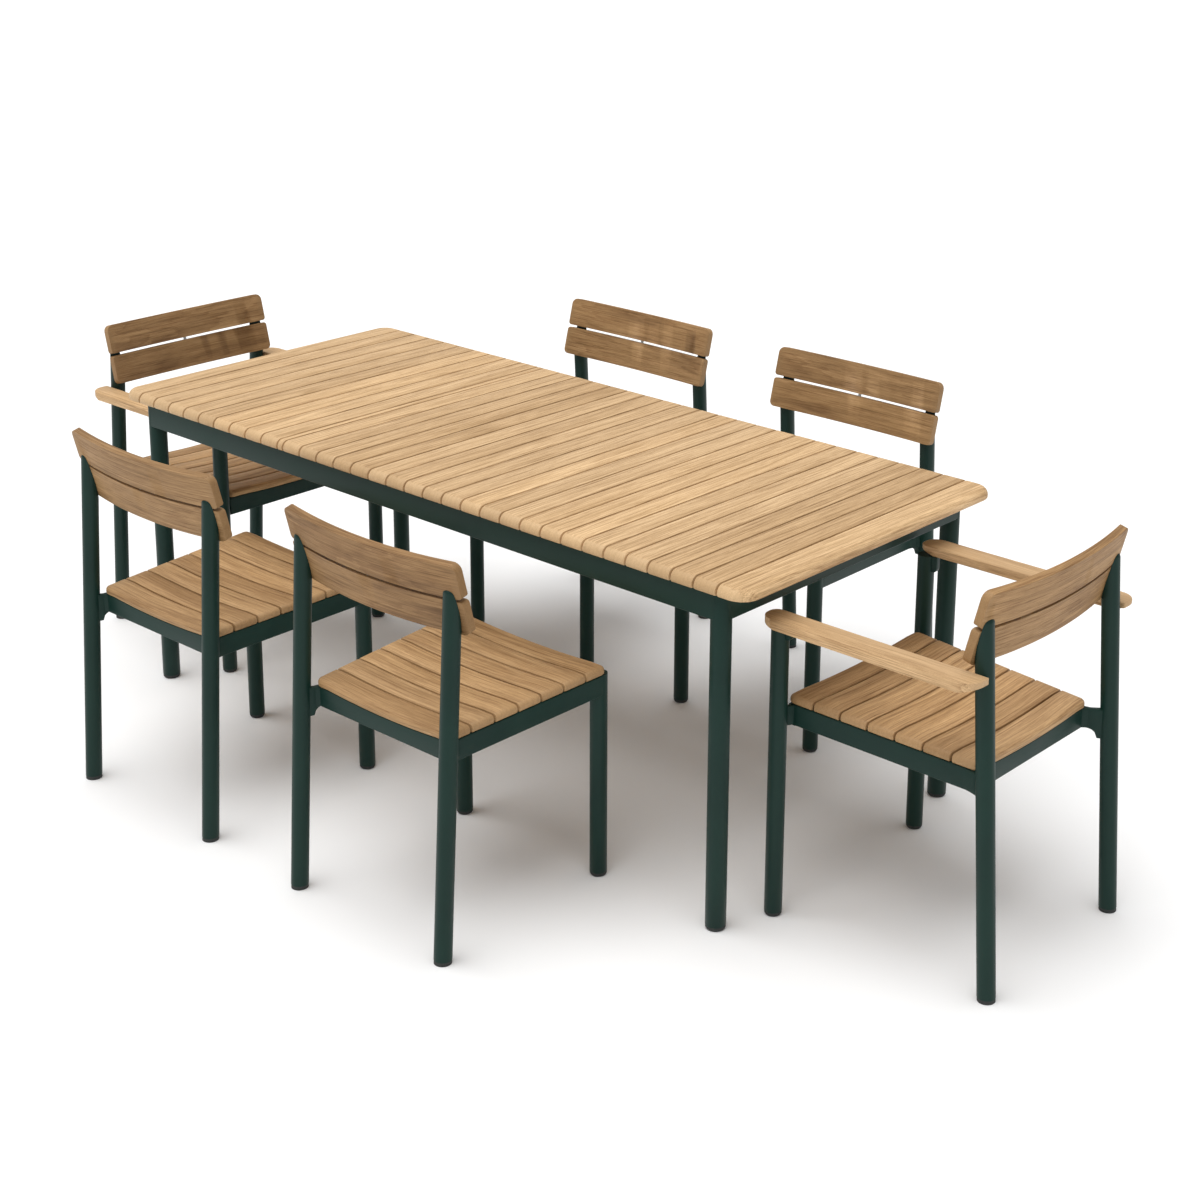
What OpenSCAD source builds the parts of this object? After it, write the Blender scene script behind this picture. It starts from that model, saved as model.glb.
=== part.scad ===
// Patio dining set: a slatted wooden table on a tube frame, four side chairs
// along its long sides and an armchair at each end.
// Origin: on the floor, under the middle of the whole set's footprint.
// X runs along the table, Y across it and Z up. All sizes are in millimetres.

/* [Table] */
// Length of the slatted top
table_l = 1944; // [1700:1:2300]
// Width of the slatted top
table_w = 838; // [780:1:1000]
// Height of the top surface above the floor
table_h = 735; // [715:1:780]
// Thickness of the table slats
table_slat_t = 24; // [18:1:30]
// Gap between two table slats
table_slat_gap = 4.5; // [3:0.1:6]
// How much wider the two end slats are than the others
end_slat_extra = 15; // [0:1:30]
// Width of the filler strip beside the left panel
filler_w = 15; // [8:1:25]
// Radius of the top's four corners, seen from above
top_corner_r = 42; // [10:1:60]
// Distance from the end of the top to a leg's axis
leg_inset_end = 87; // [60:1:140]
// Distance from the side of the top to a leg's axis
leg_inset_side = 38; // [30:1:60]
// Diameter of the table legs
table_leg_d = 42; // [36:1:50]
// Height of the table's rails
table_rail_h = 54; // [40:1:60]
// Thickness of the table's rails
table_rail_w = 25; // [20:1:30]

/* [Slat counts] */
// Slats in the left panel
left_slats = 10; // [6:1:14]
// Slats in the middle panel
middle_slats = 14; // [8:1:18]
// Slats in the right panel
right_slats = 9; // [6:1:14]
// Slats in each chair's seat
seat_slats = 7; // [5:1:8]

/* [Chairs] */
// Height of the seat rails' top edge at the front legs
seat_rail_z = 447; // [420:1:470]
// Slope of the seat down to the back, in degrees
seat_slope = 2.2; // [0:0.1:4]
// Depth of a side chair's seat
side_seat_d = 408; // [380:1:430]
// How far a side chair's seat reaches ahead of its front legs' axes
side_seat_front = 6; // [-4:1:14]
// Depth of an armchair's seat
arm_seat_d = 426; // [400:1:450]
// How far an armchair's seat reaches ahead of its front legs' axes
arm_seat_front = -1; // [-8:1:8]
// Half the width of the seat at its front edge
seat_half_front = 217; // [200:1:225]
// Half the width of the seat at its back edge
seat_half_back = 192; // [180:1:200]
// How far the seat dips in the middle
seat_dip = 6; // [4:1:14]
// Thickness of the seat slats
seat_slat_t = 18; // [14:1:22]
// Gap between two seat slats
seat_slat_gap = 4.5; // [3:0.1:6]
// Height of the seat rails
seat_rail_h = 43; // [30:1:50]
// Thickness of the seat rails
seat_rail_w = 20; // [16:1:24]
// Diameter of the chair legs
chair_leg_d = 36; // [32:1:38]
// Half the distance between a side chair's rear legs' axes
side_rear_leg_x = 212; // [205:1:222]
// Half the distance between an armchair's rear legs' axes
arm_rear_leg_x = 220; // [210:1:224]
// How far a side chair's rear feet stand behind its seat's back edge
side_foot_back = 42; // [36:1:60]
// How far an armchair's rear feet stand behind its seat's back edge
arm_foot_back = 62; // [36:1:70]
// Forward lean of a side chair's rear legs, in degrees
side_leg_lean = 3.2; // [0:0.1:4]
// Forward lean of an armchair's rear legs, in degrees
arm_leg_lean = 3.7; // [0:0.1:4]
// Height of the rear legs' tops
rear_leg_top = 752; // [740:1:765]

/* [Backrests] */
// Width of the back slats
back_w = 484; // [460:1:500]
// Height of each back slat
back_slat_h = 72; // [60:1:80]
// Thickness of the back slats
back_slat_t = 17; // [14:1:20]
// Gap between the two back slats
back_gap = 6.5; // [4:0.5:10]
// Height of the lower back slat's lower edge
back_z = 657; // [640:1:670]
// How far a side chair's back slats lie ahead of its rear legs' axes at that edge
side_back_ahead = 14; // [8:1:18]
// How far an armchair's back slats lie ahead of its rear legs' axes at that edge
arm_back_ahead = 16; // [8:1:24]
// Recline of the back slats, in degrees
back_recline = 14.5; // [8:0.5:18]
// Radius of the back slats' curve, seen from above
back_curve_r = 1300; // [1000:10:2000]

/* [Armrests] */
// Half the distance between an armchair's front legs' axes
arm_leg_x = 243; // [238:1:250]
// Height of the armrests' top surface
arm_top = 647; // [630:1:650]
// Thickness of the armrests
arm_t = 21; // [18:1:26]
// Width of the armrests
arm_w = 52; // [44:1:60]

/* [Layout] */
// Distance from the table's long axis to the near side chairs' front legs
near_chair_y = 382; // [360:1:420]
// Distance from the table's long axis to the far side chairs' front legs
far_chair_y = 365; // [360:1:420]
// Distance from the table's middle to the middle of the near left chair
near_left_x = 347; // [330:1:385]
// Distance from the table's middle to the middle of the near right chair
near_right_x = 371; // [330:1:385]
// Distance from the table's middle to the middle of the far left chair
far_left_x = 372; // [330:1:385]
// Distance from the table's middle to the middle of the far right chair
far_right_x = 342; // [330:1:385]
// Distance from the table's middle to the left armchair's front legs
left_arm_x = 806; // [800:1:960]
// Distance from the table's middle to the right armchair's front legs
right_arm_x = 935; // [800:1:960]
// How far the armchairs stand to the near side of the table's long axis
arms_aside = 20; // [0:1:40]

/* [Fits] */
// Wall thickness of the tubes
wall = 2; // [1.5:0.1:3]
// Gap left at welded and seated joints
weld_gap = 0.1; // [0.05:0.01:0.3]
// Height of the feet under the legs
foot_h = 8; // [5:1:12]
// Radius of the wood screws
screw_r = 2; // [1.5:0.1:3]

/* [Hidden] */
$fn = 48;
wood = [0.80, 0.63, 0.42];
wood_shade = [0.72, 0.55, 0.36];
green = [0.17, 0.24, 0.21];
steel = [0.62, 0.62, 0.60];
black = [0.08, 0.09, 0.09];

SIDE_CHAIRS = ["near_left", "near_right", "far_left", "far_right"];
ARMCHAIRS = ["left_end", "right_end"];
TABLE_PIECES = ["table_left_slats", "table_middle_slats", "table_right_slats", "table_filler_strip",
    "table_battens", "table_long_rails", "table_end_rails", "table_cross_bars", "table_legs",
    "table_corner_brackets", "table_bracket_bolts", "table_slat_screws", "table_feet"];
CHAIR_PIECES = ["seat_slats", "back_slats", "seat_rails", "rear_legs", "front_legs", "feet", "fixings"];

// Table, worked out from the driving sizes
slat_count = left_slats + middle_slats + right_slats;
table_slat_w = (table_l - 2 * end_slat_extra - filler_w - slat_count * table_slat_gap) / slat_count;
table_pitch = table_slat_w + table_slat_gap;
batten_t = 4;
batten_w = 30;
batten_end = 6;
slat_z = table_h - table_slat_t;
frame_top = slat_z - batten_t;
table_leg_r = table_leg_d / 2;
leg_x = table_l / 2 - leg_inset_end;
leg_y = table_w / 2 - leg_inset_side;
rail_face_y = leg_y + table_leg_r;
rail_face_x = leg_x + table_leg_r;
batten_y = leg_y - table_rail_w - 50;
filler_x = -table_l / 2 + end_slat_extra + left_slats * table_pitch;
middle_x = filler_x + filler_w + table_slat_gap;
right_x = middle_x + middle_slats * table_pitch;
cross_w = 30;
cross_h = 30;
cross_bar_x = [filler_x + filler_w / 2, (middle_x + right_x) / 2, right_x - table_slat_gap / 2];

// Chairs, worked out from the driving sizes
leg_r = chair_leg_d / 2;
dip_steps = 8;
cap_t = 4;
leg_round = 9;
arm_inner_x = arm_rear_leg_x + leg_r + 0.3;
arm_rear_over = 22;
connector_t = 10;

// The table stands off the origin by half of what the chairs on one side are pulled out further
table_x = (left_arm_x - right_arm_x) / 2;
table_y = (near_chair_y - far_chair_y) / 2;

function arc(cx, cy, r, from, to, steps) =
    [for (i = [0:steps]) let (a = from + (to - from) * i / steps) [cx + r * cos(a), cy + r * sin(a)]];

// Rectangle w by h from the origin, with a corner radius for each corner
function rounded(w, h, r1, r2, r3, r4, steps = 5) = concat(
    arc(r1, r1, r1, 180, 270, steps), arc(w - r2, r2, r2, 270, 360, steps),
    arc(w - r3, h - r3, r3, 0, 90, steps), arc(r4, h - r4, r4, 90, 180, steps));

// Height of the dipped line at x, flat outside half span a
function dip_at(x, a) = let (r = (a * a + seat_dip * seat_dip) / (2 * seat_dip))
    abs(x) >= a ? 0 : r - seat_dip - sqrt(r * r - x * x);
function dip_line(a, z) = [for (i = [-dip_steps:dip_steps]) let (x = a * i / dip_steps) [x, dip_at(x, a) + z]];
function reversed(list) = [for (i = [len(list) - 1:-1:0]) list[i]];

// ---------- table ----------

// One slat lying along Y, its ends rounded over
module table_slat(x, w) {
    translate([x, 0, slat_z]) rotate([90, 0, 90]) linear_extrude(w)
        translate([-table_w / 2, 0]) polygon(rounded(table_w, table_slat_t, 7, 7, 14, 14));
}

// Outline of the whole top, which rounds the end slats' corners
module top_outline() {
    translate([-table_l / 2, -table_w / 2, slat_z - 1]) linear_extrude(table_slat_t + 2)
        polygon(rounded(table_l, table_w, top_corner_r, top_corner_r, top_corner_r, top_corner_r, 8));
}

module end_edge_outline() {
    translate([0, table_w, slat_z]) rotate([90, 0, 0]) linear_extrude(2 * table_w)
        translate([-table_l / 2, 0]) polygon(rounded(table_l, table_slat_t, 7, 7, 12, 12));
}

// The slats' middles, one after the other along the table
function slat_middle(i) = (i < left_slats ? -table_l / 2 + end_slat_extra
    : i < left_slats + middle_slats ? middle_x - left_slats * table_pitch
    : right_x - (left_slats + middle_slats) * table_pitch) + i * table_pitch + table_slat_w / 2;
function screw_places() = [for (i = [0:slat_count - 1]) slat_middle(i)];

module slat_row(first, last) {
    difference() {
        for (i = [first:last])
            if (i == 0 || i == slat_count - 1)
                intersection() {
                    table_slat(slat_middle(i) - table_slat_w / 2 - (i == 0 ? end_slat_extra : 0),
                        table_slat_w + end_slat_extra);
                    top_outline();
                    end_edge_outline();
                }
            else
                table_slat(slat_middle(i) - table_slat_w / 2, table_slat_w);
        for (i = [first:last]) for (y = [-batten_y, batten_y])
            translate([slat_middle(i), y, slat_z - 1])
                cylinder(h = table_slat_t / 2 + 1, r = screw_r + weld_gap);
    }
}

module table_left_slats() color(wood) slat_row(0, left_slats - 1);
module table_middle_slats() color(wood) slat_row(left_slats, left_slats + middle_slats - 1);
module table_right_slats() color(wood) slat_row(left_slats + middle_slats, slat_count - 1);
module table_filler_strip() color(wood) table_slat(filler_x, filler_w);

// Flat bars under the slats, two rows and a middle row for each panel
module table_battens() color(green) {
    starts = [-leg_x - table_leg_r, middle_x + batten_end, right_x + batten_end];
    ends = [middle_x - batten_end - table_slat_gap, right_x - batten_end - table_slat_gap, leg_x + table_leg_r];
    difference() {
        for (p = [0:2]) for (y = [-batten_y, 0, batten_y])
            translate([starts[p], y - batten_w / 2, frame_top]) cube([ends[p] - starts[p], batten_w, batten_t]);
        for (x = screw_places()) for (y = [-batten_y, batten_y])
            translate([x, y, frame_top - 1]) cylinder(h = batten_t + 2, r = screw_r + weld_gap);
    }
}

module table_slat_screws() color(steel) {
    for (x = screw_places()) for (y = [-batten_y, batten_y])
        translate([x, y, frame_top + 0.5]) cylinder(h = batten_t + table_slat_t / 2 - 2, r = screw_r);
}

module tube_box(size, along) {
    grow = [for (k = [0:2]) k == along ? 2 : -2 * wall];
    difference() {
        cube(size, center = true);
        cube(size + grow, center = true);
    }
}

module leg_clearance() {
    for (x = [-leg_x, leg_x]) for (y = [-leg_y, leg_y])
        translate([x, y, 0]) cylinder(h = table_h, r = table_leg_r + weld_gap);
}

module table_long_rails() color(green) difference() {
    for (s = [-1, 1])
        translate([0, s * (rail_face_y - table_rail_w / 2), frame_top - table_rail_h / 2])
            tube_box([2 * leg_x, table_rail_w, table_rail_h], 0);
    leg_clearance();
}

module table_end_rails() color(green) difference() {
    for (s = [-1, 1])
        translate([s * (rail_face_x - table_rail_w / 2), 0, frame_top - table_rail_h / 2])
            tube_box([table_rail_w, 2 * leg_y, table_rail_h], 1);
    leg_clearance();
}

module table_cross_bars() color(green)
    for (x = cross_bar_x)
        translate([x, 0, frame_top - cross_h / 2])
            tube_box([cross_w, 2 * (rail_face_y - table_rail_w), cross_h], 1);

module upright_tube(height, r) {
    difference() {
        translate([0, 0, foot_h]) cylinder(h = height - foot_h, r = r);
        translate([0, 0, foot_h - 1]) cylinder(h = height - foot_h - cap_t + 1, r = r - wall);
    }
}

// Glide with a stem that plugs into the tube
module glide(r) {
    cylinder(h = foot_h / 2, r1 = r - 3, r2 = r - 0.5);
    translate([0, 0, foot_h / 2]) cylinder(h = foot_h / 2, r = r - 0.5);
    translate([0, 0, foot_h]) cylinder(h = 14, r = r - wall - weld_gap);
}

module table_legs() color(green)
    for (x = [-leg_x, leg_x]) for (y = [-leg_y, leg_y])
        translate([x, y, 0]) upright_tube(frame_top, table_leg_r);

module table_feet() color(black)
    for (x = [-leg_x, leg_x]) for (y = [-leg_y, leg_y])
        translate([x, y, 0]) glide(table_leg_r);

// Diagonal plate behind each leg, from the long rail to the end rail
bracket_reach = 34;
bracket_t = 5;
bracket_h = 40;
bracket_l = sqrt(2) * (bracket_reach + table_leg_r);

module at_corners() {
    for (sx = [-1, 1]) for (sy = [-1, 1])
        translate([sx * leg_x, sy * leg_y, frame_top - table_rail_h / 2])
            rotate([0, 0, atan2(-sy, -sx)]) children();
}

module table_corner_brackets() color(green) intersection() {
    difference() {
        at_corners() translate([table_leg_r + 2, 0, 0])
            translate([0, -bracket_l, -bracket_h / 2]) cube([bracket_t, 2 * bracket_l, bracket_h]);
        at_corners() for (z = [-10, 10]) translate([0, 0, z])
            rotate([0, 90, 0]) cylinder(h = 60, r = 3 + weld_gap);
    }
    translate([0, 0, frame_top - table_rail_h / 2])
        cube([2 * (rail_face_x - table_rail_w - weld_gap), 2 * (rail_face_y - table_rail_w - weld_gap), table_h],
            center = true);
}

module table_bracket_bolts() color(steel)
    at_corners() for (z = [-10, 10]) translate([0, 0, z]) rotate([0, 90, 0]) {
        translate([0, 0, table_leg_r + weld_gap]) cylinder(h = 2 + bracket_t, r = 3);
        translate([0, 0, table_leg_r + 2 + bracket_t]) cylinder(h = 5, r = 5.5, $fn = 6);
    }

// ---------- chairs ----------
// A chair faces +Y, with its origin on the floor midway between its front legs.

function seat_depth(arms) = arms ? arm_seat_d : side_seat_d;
function seat_front(arms) = arms ? arm_seat_front : side_seat_front;
function front_leg_x(arms) = arms ? arm_leg_x : seat_half_front - leg_r;
function seat_pitch(arms) = (seat_depth(arms) + seat_slat_gap) / seat_slats;
function back_edge_y(arms) = seat_front(arms) - seat_depth(arms);
function half_width(y, arms) = seat_half_front
    + (seat_half_back - seat_half_front) * (seat_front(arms) - y) / seat_depth(arms);
function slat_front(i, arms) = seat_front(arms) - i * seat_pitch(arms);
function dip_half(i, arms) =
    min(half_width(slat_front(i, arms), arms), half_width(slat_front(i, arms) - seat_pitch(arms), arms))
    - chair_leg_d - weld_gap;
function front_rail_y(arms) = seat_front(arms) - rail_in;
function rear_foot_y(arms) = back_edge_y(arms) - (arms ? arm_foot_back : side_foot_back);
function rear_leg_x(arms) = arms ? arm_rear_leg_x : side_rear_leg_x;
function leg_lean(arms) = arms ? arm_leg_lean : side_leg_lean;
function rear_leg_y(z, arms) = rear_foot_y(arms) + z * tan(leg_lean(arms));

// The sloping frame of the seat: z = 0 is the top of its side rails
module seat_frame_axes() {
    translate([0, 0, seat_rail_z]) rotate([seat_slope, 0, 0]) children();
}

module rear_leg_axis(side, arms) {
    translate([side * rear_leg_x(arms), rear_foot_y(arms), 0]) rotate([-leg_lean(arms), 0, 0]) children();
}

module seat_plan(arms, grow = 0) {
    w1 = seat_half_front + grow;
    w2 = seat_half_back + grow;
    y1 = seat_front(arms) + grow;
    y2 = back_edge_y(arms) - grow;
    r = 14;
    lean = atan2(w1 - w2, y1 - y2);
    polygon(concat(
        arc(-w2 + r, y2 + r, r, 180 + lean, 270, 5), arc(w2 - r, y2 + r, r, 270, 360 - lean, 5),
        arc(w1 - r, y1 - r, r, -lean, 90, 5), arc(-w1 + r, y1 - r, r, 90, 180 + lean, 5)));
}

// Section of seat slat i across the chair, dipped in the middle, with rounded ends
module seat_slat_section(i, arms) {
    a = dip_half(i, arms);
    e = seat_half_front + 20;
    polygon(concat([[-e, 0]], dip_line(a, 0), [[e, 0], [e, seat_slat_t]],
        reversed(dip_line(a, seat_slat_t)), [[-e, seat_slat_t]]));
}

module seat_slats_of(arms) color(wood) seat_frame_axes() difference() {
    intersection() {
        for (i = [0:seat_slats - 1])
            translate([0, slat_front(i, arms), 0]) rotate([90, 0, 0])
                linear_extrude(seat_pitch(arms) - seat_slat_gap) seat_slat_section(i, arms);
        translate([0, 0, -seat_rail_h]) linear_extrude(2 * seat_rail_h) seat_plan(arms);
    }
    for (i = [0:seat_slats - 1]) strap_screw(i, arms, screw_r + weld_gap, 1);
}

module strap_screw(i, arms, r, extra) {
    y = slat_front(i, arms) - (seat_pitch(arms) - seat_slat_gap) / 2;
    translate([0, y, -seat_dip - strap_t - extra + 0.3])
        cylinder(h = strap_t + seat_slat_t * 0.6 + 2 * extra, r = r);
}

strap_t = 4;
strap_w = 28;
rail_in = 3;

// A rail across the chair, straight below, whose top follows the slats' dip
module dipped_rail(x, a) {
    module band(half, top, bottom) {
        polygon(concat([[-half, top]], dip_line(a, top), [[half, top], [half, bottom], [-half, bottom]]));
    }
    rotate([90, 0, 0]) difference() {
        linear_extrude(seat_rail_w) band(x, 0, -seat_rail_h);
        translate([0, 0, wall]) linear_extrude(seat_rail_w - 2 * wall)
            band(x + 2, -wall, wall - seat_rail_h);
    }
}

module front_rail(arms) {
    x = arms ? half_width(front_rail_y(arms), arms) - 1 : front_leg_x(arms);
    translate([0, front_rail_y(arms), 0]) dipped_rail(x, dip_half(0, arms));
}

module rear_rail(arms) {
    y = back_edge_y(arms) + rail_in + seat_rail_w;
    translate([0, y, 0]) dipped_rail(half_width(y, arms) - 2, dip_half(seat_slats - 1, arms));
}

module side_rail(side, arms) {
    y1 = front_rail_y(arms) - seat_rail_w;
    y2 = back_edge_y(arms) + rail_in + seat_rail_w;
    x1 = half_width(y1, arms) - seat_rail_w / 2;
    x2 = half_width(y2, arms) - seat_rail_w / 2;
    turn = atan2(x1 - x2, y1 - y2);
    intersection() {
        translate([side * x2, y2, -seat_rail_h / 2]) rotate([0, 0, -side * turn])
            translate([0, (y1 - y2) / 2, 0]) tube_box([seat_rail_w, 1.2 * (y1 - y2), seat_rail_h], 1);
        translate([-400, y2 + weld_gap, -100]) cube([800, y1 - y2 - 2 * weld_gap + (arms ? 0 : leg_r), 200]);
    }
}

// Flat plate that ties a corner of the seat frame to the leg outside it
module connector(from, to) {
    run = to - from;
    translate([from[0], from[1], -seat_rail_h + 1]) rotate([0, 0, atan2(run[1], run[0])])
        translate([0, -connector_t / 2, 0]) cube([norm(run), connector_t, seat_rail_h - 2]);
}

module leg_space(arms) {
    for (side = [-1, 1]) {
        rear_leg_axis(side, arms) cylinder(h = rear_leg_top, r = leg_r + weld_gap);
        translate([side * front_leg_x(arms), 0, 0]) cylinder(h = rear_leg_top, r = leg_r + weld_gap);
    }
}

module frame_outline(arms) {
    y1 = front_rail_y(arms);
    y2 = back_edge_y(arms) + rail_in;
    translate([0, 0, -2 * seat_rail_h]) linear_extrude(4 * seat_rail_h)
        polygon([[-half_width(y1, arms) - weld_gap, y1 + weld_gap], [half_width(y1, arms) + weld_gap, y1 + weld_gap],
            [half_width(y2, arms) + weld_gap, y2 - weld_gap], [-half_width(y2, arms) - weld_gap, y2 - weld_gap]]);
}

module seat_rails_of(arms) color(green) difference() {
    seat_frame_axes() {
        front_rail(arms);
        rear_rail(arms);
        for (side = [-1, 1]) side_rail(side, arms);
        difference() {
            translate([-strap_w / 2, back_edge_y(arms) + rail_in + seat_rail_w + weld_gap, -seat_dip - strap_t])
                cube([strap_w, seat_depth(arms) - 2 * (rail_in + seat_rail_w + weld_gap), strap_t]);
            for (i = [0:seat_slats - 1]) strap_screw(i, arms, screw_r + weld_gap, 2);
        }
        for (side = [-1, 1]) difference() {
            union() {
                y = back_edge_y(arms) + rail_in;
                connector([side * (half_width(y, arms) - 12), y + 10],
                    [side * rear_leg_x(arms), rear_leg_y(seat_rail_z, arms)]);
                if (arms) connector([side * (half_width(0, arms) - 12), front_rail_y(arms) - 14],
                    [side * arm_leg_x, 0]);
            }
            frame_outline(arms);
        }
    }
    leg_space(arms);
}

// The backrest's own axes: x across, z up the slats, y = 0 at the middle of the front face
module back_axes(arms) {
    tie = back_curve_r - sqrt(back_curve_r * back_curve_r - rear_leg_x(arms) * rear_leg_x(arms));
    z = back_z;
    y = rear_leg_y(z, arms) + (arms ? arm_back_ahead : side_back_ahead) + back_slat_t - tie;
    translate([0, y, z]) rotate([back_recline, 0, 0]) children();
}

module back_curve(r) {
    translate([0, back_curve_r, 0]) circle(r = r, $fn = 240);
}

module back_slats_of(arms) color(wood_shade) back_axes(arms) {
    for (k = [0, 1]) translate([0, 0, k * (back_slat_h + back_gap)]) difference() {
        intersection() {
            linear_extrude(back_slat_h) difference() {
                polygon(concat(arc(0, back_curve_r, back_curve_r + back_slat_t, 255, 285, 72),
                    reversed(arc(0, back_curve_r, back_curve_r, 255, 285, 72))));
            }
            translate([-back_w / 2, 100, 0]) rotate([90, 0, 0]) linear_extrude(200)
                polygon(rounded(back_w, back_slat_h, k == 0 ? 12 : 4, k == 0 ? 12 : 4,
                    k == 0 ? 4 : 16, k == 0 ? 4 : 16));
        }
        translate([0, -back_slat_t / 2, k == 0 ? back_slat_h - dowel_in : -1])
            cylinder(h = dowel_in + 1, r = dowel_r + weld_gap);
    }
}

dowel_r = 4;
dowel_in = 14;

// Plane where a rear leg is cut to carry the back slats
module back_cut(side, arms) {
    back_axes(arms) translate([0, back_curve_r, 0])
        rotate([0, 0, side * asin(rear_leg_x(arms) / (back_curve_r + back_slat_t))])
            translate([-60, -back_curve_r - back_slat_t - weld_gap, -200]) cube([120, 120, 600]);
}

module rear_legs_of(arms) color(green)
    for (side = [-1, 1]) difference() {
        rear_leg_axis(side, arms) rotate_extrude() polygon(concat([[0, 0], [leg_r, 0]],
            arc(leg_r - leg_round, rear_leg_top - leg_round, leg_round, 0, 90, 4), [[0, rear_leg_top]]));
        rear_leg_axis(side, arms) translate([0, 0, -20]) cylinder(h = back_z - 20, r = leg_r - wall);
        translate([-400, -700, -100 + foot_h]) cube([800, 900, 100]);
        back_cut(side, arms);
    }

// Small gusset at the back of an armchair's front leg, under the armrest
module arm_gusset(side) {
    translate([side * arm_leg_x - gusset_t / 2, -leg_r - gusset_l, arm_top - arm_t - weld_gap - gusset_h])
        rotate([90, 0, 90]) linear_extrude(gusset_t) polygon(rounded(gusset_l + 6, gusset_h, 9, 1, 1, 1));
}

gusset_l = 12;
gusset_h = 22;
gusset_t = 10;

module front_legs_of(arms) color(green) difference() {
    for (side = [-1, 1]) {
        translate([side * front_leg_x(arms), 0, 0])
            upright_tube(arms ? arm_top - arm_t - weld_gap : seat_rail_z + cap_t, leg_r);
        if (arms) difference() {
            arm_gusset(side);
            translate([side * arm_leg_x, 0, 0]) cylinder(h = table_h, r = leg_r - wall / 2);
        }
    }
    if (!arms) seat_frame_axes() translate([-400, -100, 0]) cube([800, 200, 100]);
}

module rear_glide(side, arms) {
    rear_leg_axis(side, arms) {
        intersection() {
            translate([0, 0, -10]) cylinder(h = 60, r = leg_r - 0.5);
            rotate([leg_lean(arms), 0, 0]) translate([-50, -50, 0]) cube([100, 100, foot_h]);
        }
        difference() {
            cylinder(h = foot_h + 16, r = leg_r - wall - weld_gap);
            rotate([leg_lean(arms), 0, 0]) translate([-50, -50, -100]) cube([100, 100, 100 + foot_h / 2]);
        }
    }
}

module feet_of(arms) color(black)
    for (side = [-1, 1]) {
        translate([side * front_leg_x(arms), 0, 0]) glide(leg_r);
        rear_glide(side, arms);
    }

module fixings_of(arms) color(steel) {
    seat_frame_axes() for (i = [0:seat_slats - 1]) strap_screw(i, arms, screw_r, 0);
    back_axes(arms) translate([0, -back_slat_t / 2, back_slat_h - dowel_in + 0.3])
        cylinder(h = 2 * dowel_in + back_gap - 0.6, r = dowel_r);
}

module armrests_of() color(wood)
    for (side = [0, 1]) mirror([side, 0, 0]) {
        y2 = rear_leg_y(arm_top, true) - arm_rear_over;
        translate([arm_inner_x, y2, arm_top - arm_t])
            linear_extrude(arm_t) polygon(rounded(arm_w, leg_r - 2 - y2, 4, 34, 24, 22));
    }

module chair_piece(piece, arms) {
    if (piece == "seat_slats") seat_slats_of(arms);
    if (piece == "back_slats") back_slats_of(arms);
    if (piece == "seat_rails") seat_rails_of(arms);
    if (piece == "rear_legs") rear_legs_of(arms);
    if (piece == "front_legs") front_legs_of(arms);
    if (piece == "feet") feet_of(arms);
    if (piece == "fixings") fixings_of(arms);
    if (piece == "armrests") armrests_of();
}

module place_side(i) {
    far = i > 1;
    x = [-near_left_x, near_right_x, -far_left_x, far_right_x][i];
    translate([table_x + x, table_y + (far ? far_chair_y : -near_chair_y), 0])
        rotate([0, 0, far ? 180 : 0]) children();
}

module place_arm(i) {
    translate([table_x + (i == 0 ? -left_arm_x : right_arm_x), table_y - arms_aside, 0])
        rotate([0, 0, i == 0 ? -90 : 90]) children();
}

module place_table() {
    translate([table_x, table_y, 0]) children();
}

place_table() table_left_slats();
place_table() table_middle_slats();
place_table() table_right_slats();
place_table() table_filler_strip();
place_table() table_battens();
place_table() table_long_rails();
place_table() table_end_rails();
place_table() table_cross_bars();
place_table() table_legs();
place_table() table_corner_brackets();
place_table() table_bracket_bolts();
place_table() table_slat_screws();
place_table() table_feet();

for (i = [0:3]) for (p = CHAIR_PIECES)
    place_side(i) chair_piece(p, false);
for (i = [0:1]) for (p = concat(CHAIR_PIECES, ["armrests"]))
    place_arm(i) chair_piece(p, true);
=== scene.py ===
import math
import random

import bmesh
import bpy
from mathutils import Matrix, Vector


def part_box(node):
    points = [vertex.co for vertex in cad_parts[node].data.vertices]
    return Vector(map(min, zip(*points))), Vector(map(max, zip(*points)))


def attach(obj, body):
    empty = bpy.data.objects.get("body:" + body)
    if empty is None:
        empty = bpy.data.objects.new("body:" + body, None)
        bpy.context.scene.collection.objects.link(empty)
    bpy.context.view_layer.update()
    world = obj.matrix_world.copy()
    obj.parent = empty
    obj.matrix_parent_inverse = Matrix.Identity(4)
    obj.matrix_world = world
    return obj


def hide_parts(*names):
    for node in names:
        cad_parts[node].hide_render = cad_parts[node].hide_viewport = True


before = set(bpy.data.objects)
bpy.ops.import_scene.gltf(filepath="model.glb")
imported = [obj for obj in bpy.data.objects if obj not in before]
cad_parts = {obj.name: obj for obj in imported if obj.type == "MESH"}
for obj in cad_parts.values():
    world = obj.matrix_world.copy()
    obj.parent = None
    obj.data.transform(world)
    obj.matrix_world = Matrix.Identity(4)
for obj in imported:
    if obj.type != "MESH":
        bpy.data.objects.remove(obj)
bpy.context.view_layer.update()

dice = random.Random(11)

# ---------------------------------------------------------------- sizes, in metres, as in the part

HAIR = 0.0001           # between pieces that lie against each other
SHY = 0.001             # by how much an end or edge stops short of its neighbour's face
SLAT_GAP = 0.0045       # between the slats of the tabletop and of the seats

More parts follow.
